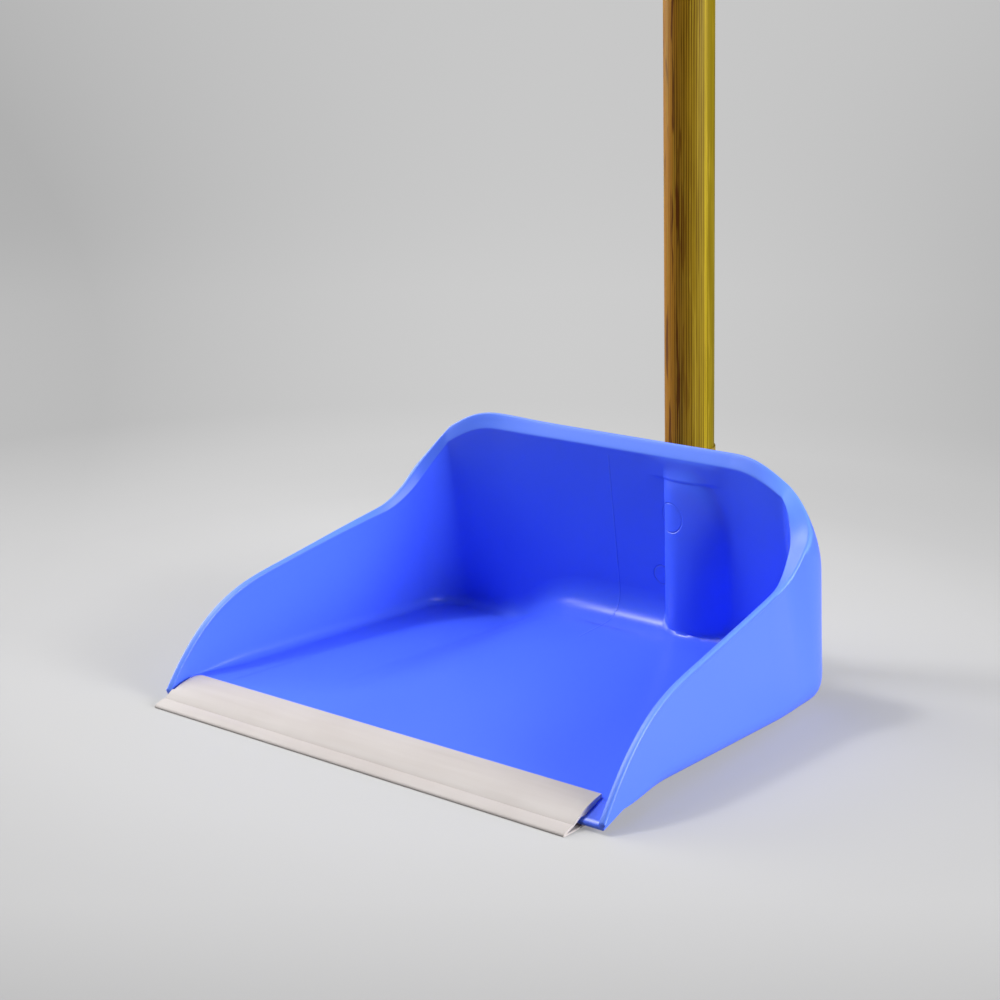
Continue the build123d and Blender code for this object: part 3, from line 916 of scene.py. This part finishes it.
# studio: pale floor that runs on as the backdrop, soft lamps left and right, little light from the front
studio = {
    "floorSize": 90.0,
    "floorTint": (1.0, 0.995, 1.0),
    # share of light the paper gives back, and its glow as backdrop, by distance from the middle; near the pan
    # the glow also lightens the pan's shadow on the paper: painted light
    "paper": [(0.15, 0.34), (0.25, 0.33), (0.32, 0.29), (0.38, 0.22), (0.46, 0.12), (0.60, 0.04)],
    "glow": [(0.15, 0.23), (0.25, 0.22), (0.32, 0.235), (0.38, 0.325),
             (0.46, 0.47), (0.60, 0.55), (1.20, 0.575)],
    "paperRoughness": 0.8,
    "paperSheen": 0.1,
    "glowSide": (0.786, 0.619, 0.0),      # the glow is strongest in the middle and fades to the sides
    "glowAway": (-0.619, 0.786, 0.0),
    "glowStart": 0.82,
    "glowMiddle": 0.05,
    "glowFall": 2.2,
    "glowMirrored": 0.4,
    "glowNear": [(-1.2, 1.0), (-0.8, 1.0), (-0.5, 0.6), (-0.36, 0.6), (-0.22, 1.0)],   # dimmer in front
    "glowLeast": 0.75,
    "middle": (-0.05, 0.063, 0.0),
    "worldLight": 0.03,
    "worldSeen": (0.50, 0.50, 0.50),
    "lamps": {
        "leftHigh": {"place": (-0.64, -0.24, 1.45), "size": 0.2, "power": 9.0},
        "leftWide": {"place": (-0.66, -0.20, 1.44), "size": 0.9, "power": 11.0},
        "leftLow": {"place": (-1.41, -0.22, 0.71), "size": 1.0, "power": 14.5},
        "leftFar": {"place": (-1.52, 0.00, 0.50), "size": 1.0, "power": 8.0},
        "rightLow": {"place": (1.52, 0.10, 0.47), "size": 0.6, "power": 19.0},
        "rightHigh": {"place": (1.44, 0.16, 0.67), "size": 0.8, "power": 10.0},
        "rightBack": {"place": (1.38, 0.57, 0.58), "size": 0.6, "power": 7.0},
    },
    "aim": (0.0, 0.0, 0.0),
}


def addFloor(setup):
    half = setup["floorSize"] / 2
    mesh = bpy.data.meshes.new("floor")
    corners = [(-half, -half, 0), (half, -half, 0), (half, half, 0), (-half, half, 0)]
    mesh.from_pydata(corners, [], [(0, 1, 2, 3)])
    floor = bpy.data.objects.new("floor", mesh)
    scene.collection.objects.link(floor)
    material, tree, shader = newMaterial("floorPaper")
    point = objectPoint(tree)

    def measured(operation, other):
        return addNode(tree, "VectorMath", {0: point, 1: other}, operation=operation).outputs["Value"]

    reach = measured("DISTANCE", setup["middle"])
    longest = setup["glow"][-1][0]
    share = addMath(tree, "DIVIDE", reach, longest)
    tints = [(r / longest, tuple(v * t for t in setup["floorTint"])) for r, v in setup["paper"]]
    tree.links.new(addRamp(tree, share, tints), shader.inputs["Base Color"])
    shader.inputs["Roughness"].default_value = setup["paperRoughness"]
    shader.inputs["Specular IOR Level"].default_value = setup["paperSheen"]
    glow = addRamp(tree, share, greys((r / longest, v) for r, v in setup["glow"]))
    across = measured("DOT_PRODUCT", setup["glowSide"])
    away = measured("DOT_PRODUCT", setup["glowAway"])
    squared = addMath(tree, "MULTIPLY", reach, reach)
    whole = addMath(tree, "SQRT", addMath(tree, "ADD", squared, setup["glowStart"]))
    off = addMath(tree, "SUBTRACT", addMath(tree, "DIVIDE", across, whole), setup["glowMiddle"])
    fall = addMath(tree, "MULTIPLY", addMath(tree, "MULTIPLY", off, off), setup["glowFall"])
    furthest = setup["glowNear"][0][0]
    near = addRamp(tree, spread(tree, away, 0.0, 1.0, furthest, 0.0),
                   greys((1 - a / furthest, v) for a, v in setup["glowNear"]))
    sides = addMath(tree, "MAXIMUM", addMath(tree, "SUBTRACT", 1.0, fall), setup["glowLeast"])
    level = addMath(tree, "MULTIPLY", sides, near)
    seen = addNode(tree, "LightPath")
    mirrored = addMath(tree, "MULTIPLY", seen.outputs["Is Glossy Ray"], setup["glowMirrored"])
    either = addMath(tree, "MAXIMUM", seen.outputs["Is Camera Ray"], mirrored)
    tree.links.new(glow, shader.inputs["Emission Color"])
    tree.links.new(addMath(tree, "MULTIPLY", either, level), shader.inputs["Emission Strength"])
    floor.data.materials.append(material)


def addWorld(setup):
    world = bpy.data.worlds.new("studio")
    scene.world = world
    world.use_nodes = True
    tree = world.node_tree
    tree.nodes.clear()
    seen = addNode(tree, "LightPath")
    light = addNode(tree, "Background", {"Color": (1, 1, 1, 1), "Strength": setup["worldLight"]})
    backdrop = addNode(tree, "Background", {"Color": (*setup["worldSeen"], 1), "Strength": 1.0})
    toCamera = seen.outputs["Is Camera Ray"]
    mixed = addNode(tree, "MixShader", {0: toCamera, 1: light.outputs[0], 2: backdrop.outputs[0]})
    output = addNode(tree, "OutputWorld")
    tree.links.new(mixed.outputs[0], output.inputs[0])


def addLamp(name, lamp, aim):
    data = bpy.data.lights.new(name, "AREA")
    data.shape = "SQUARE"
    data.size = lamp["size"]
    data.energy = lamp["power"]
    light = bpy.data.objects.new(name, data)
    scene.collection.objects.link(light)
    light.location = lamp["place"]
    light.rotation_euler = (Vector(aim) - Vector(lamp["place"])).to_track_quat("-Z", "Y").to_euler()


addFloor(studio)
addWorld(studio)
for name, lamp in studio["lamps"].items():
    addLamp(name, lamp, studio["aim"])
print("studio lit")

# camera at the photograph's place, looking down at the open side
cameraSetup = {
    "place": (556.93, -716.47, 334.18),   # millimetres
    "turn": 38.23,
    "down": 14.66,
    "roll": 0.1,
    "lens": 72.65,
    "sensor": 36.0,
    "sight": 100,                         # metres
}


def addCamera(setup):
    data = bpy.data.cameras.new("camera")
    data.lens = setup["lens"]
    data.sensor_width = setup["sensor"]
    data.clip_end = setup["sight"]
    camera = bpy.data.objects.new("camera", data)
    scene.collection.objects.link(camera)
    place = Matrix.Translation(Vector(setup["place"]) * mm)
    turn = Matrix.Rotation(radians(setup["turn"]), 4, "Z")
    down = Matrix.Rotation(radians(90 - setup["down"]), 4, "X")
    roll = Matrix.Rotation(radians(-setup["roll"]), 4, "Z")
    camera.matrix_world = place @ turn @ down @ roll
    scene.camera = camera


addCamera(cameraSetup)
print("camera set")
